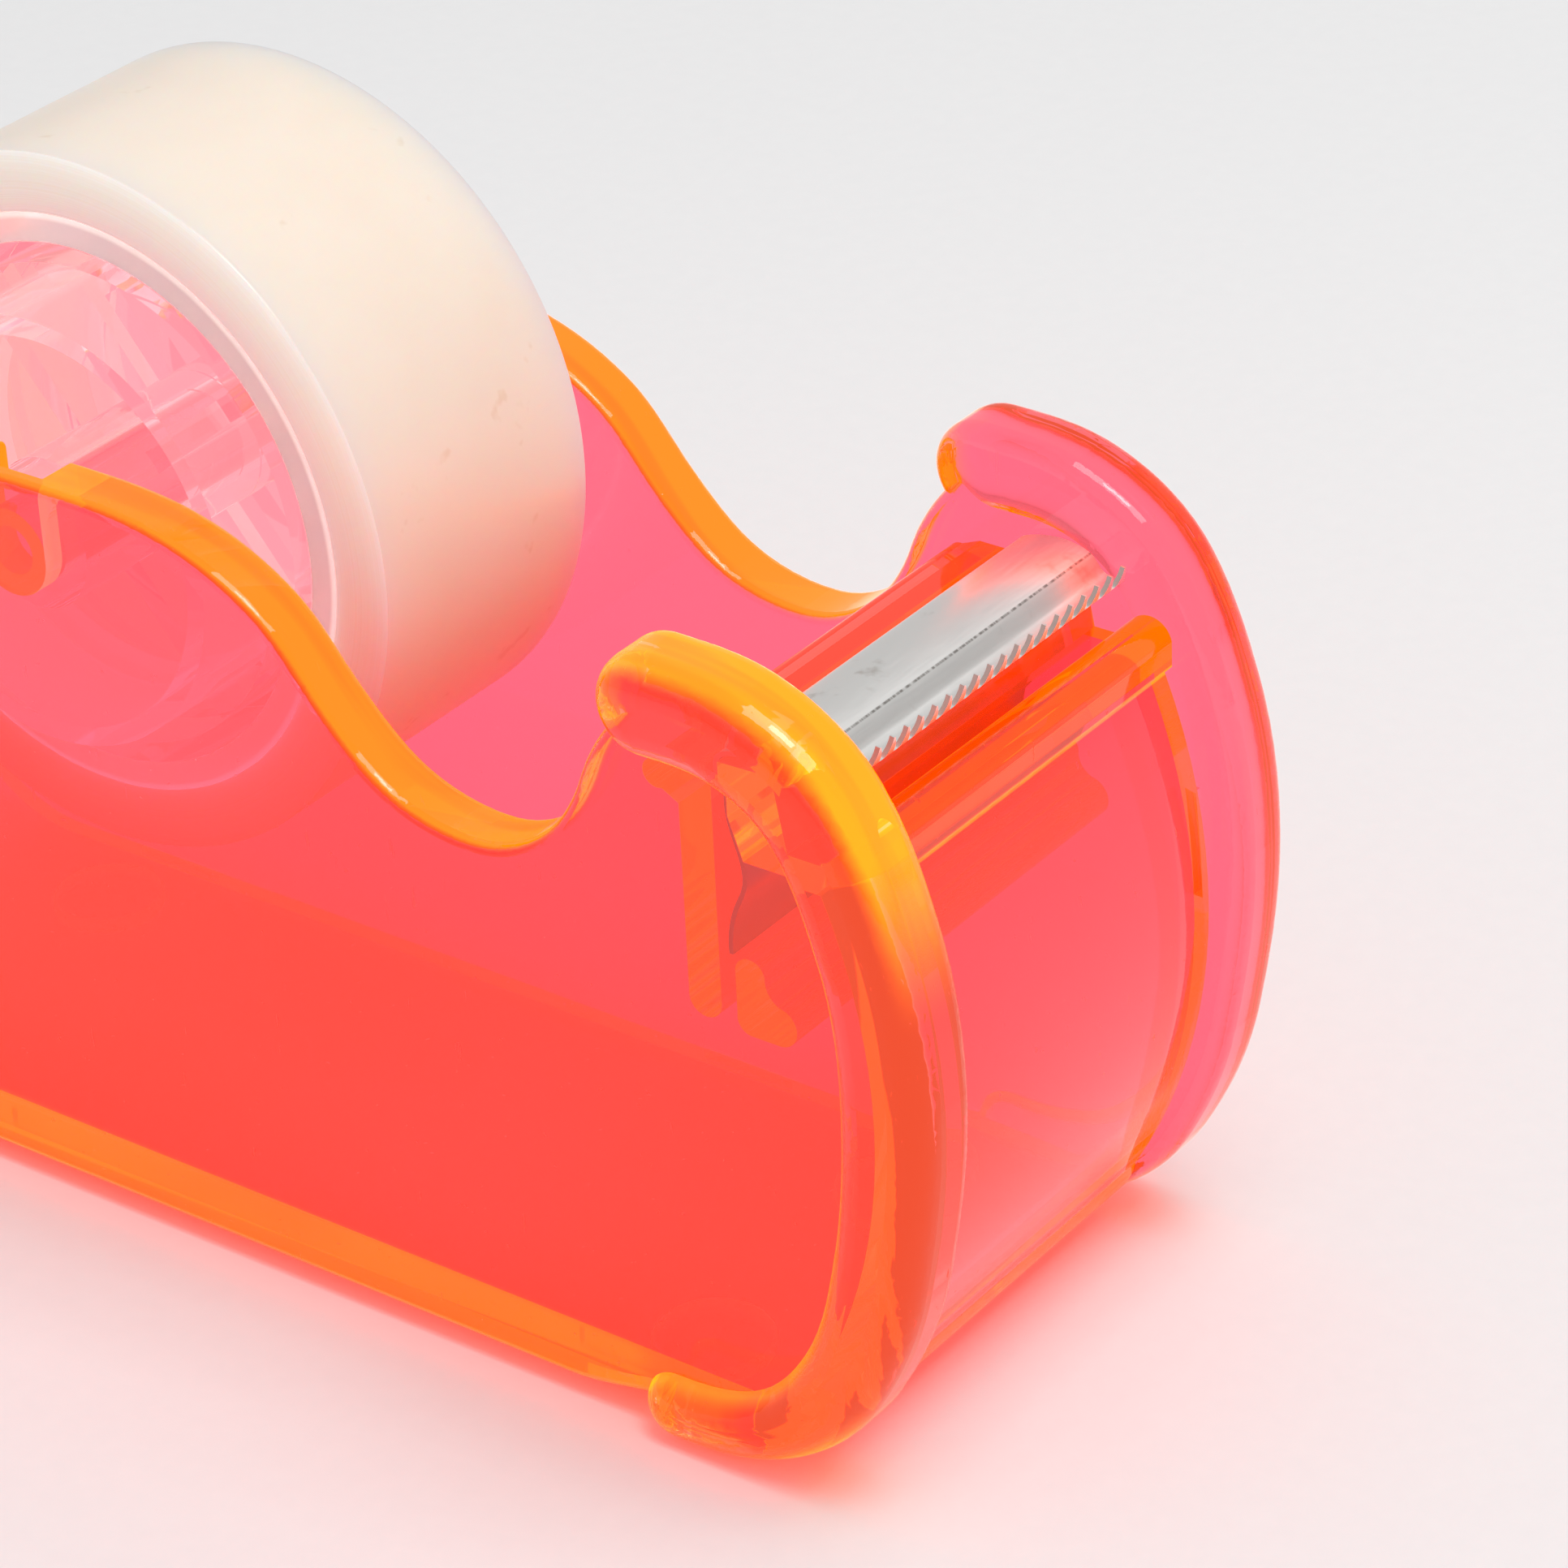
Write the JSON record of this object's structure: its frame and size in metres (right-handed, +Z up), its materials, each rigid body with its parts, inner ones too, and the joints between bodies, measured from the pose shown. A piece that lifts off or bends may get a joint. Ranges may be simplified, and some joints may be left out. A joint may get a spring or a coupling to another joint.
{
  "type": "tape dispenser",
  "caption": "Small desk tape dispenser: translucent housing with wavy cheeks and a thick front rim, toothed steel cutter, and a tape roll on a spoked hub that spins on a lift-out axle tube.",
  "frame": {"origin": "on the table, under the middle of the dispenser", "axes": "+X towards the cutter, +Y towards the side cover (right-hand cheek), +Z up"},
  "size_m": [0.0837, 0.0308, 0.0536],
  "materials": {
    "shell_plastic": "translucent fluorescent coral plastic, polished, edges glowing orange",
    "axle_plastic": "translucent fluorescent orange-coral plastic tube",
    "hub_plastic": "clear moulded plastic",
    "core_plastic": "milky translucent plastic core",
    "tape_film": "wound film tape, satin, slightly translucent cream",
    "cutter_steel": "stamped sheet steel",
    "foot_rubber": "soft clear bumper foot"
  },
  "bodies": {
    "dispenser": {"body_shell": "shell_plastic", "side_cover": "shell_plastic", "cutter_blade": "cutter_steel", "foot_front_left": "foot_rubber", "foot_front_right": "foot_rubber", "foot_rear_left": "foot_rubber", "foot_rear_right": "foot_rubber"},
    "axle": {"axle_tube": "axle_plastic"},
    "reel": {"hub_left": "hub_plastic", "hub_right": "hub_plastic", "tape_core": "core_plastic", "tape_roll": "tape_film"}
  },
  "joints": [
    {"name": "reel_lift", "type": "slide", "parent": "dispenser", "child": "axle", "axis": [0, 0, 1], "range_m": [0, 0.03]},
    {"name": "reel_spin", "type": "hinge", "parent": "axle", "child": "reel", "pos_m": [-0.01055, 0, 0.036], "axis": [0, 1, 0], "continuous": true}
  ]
}
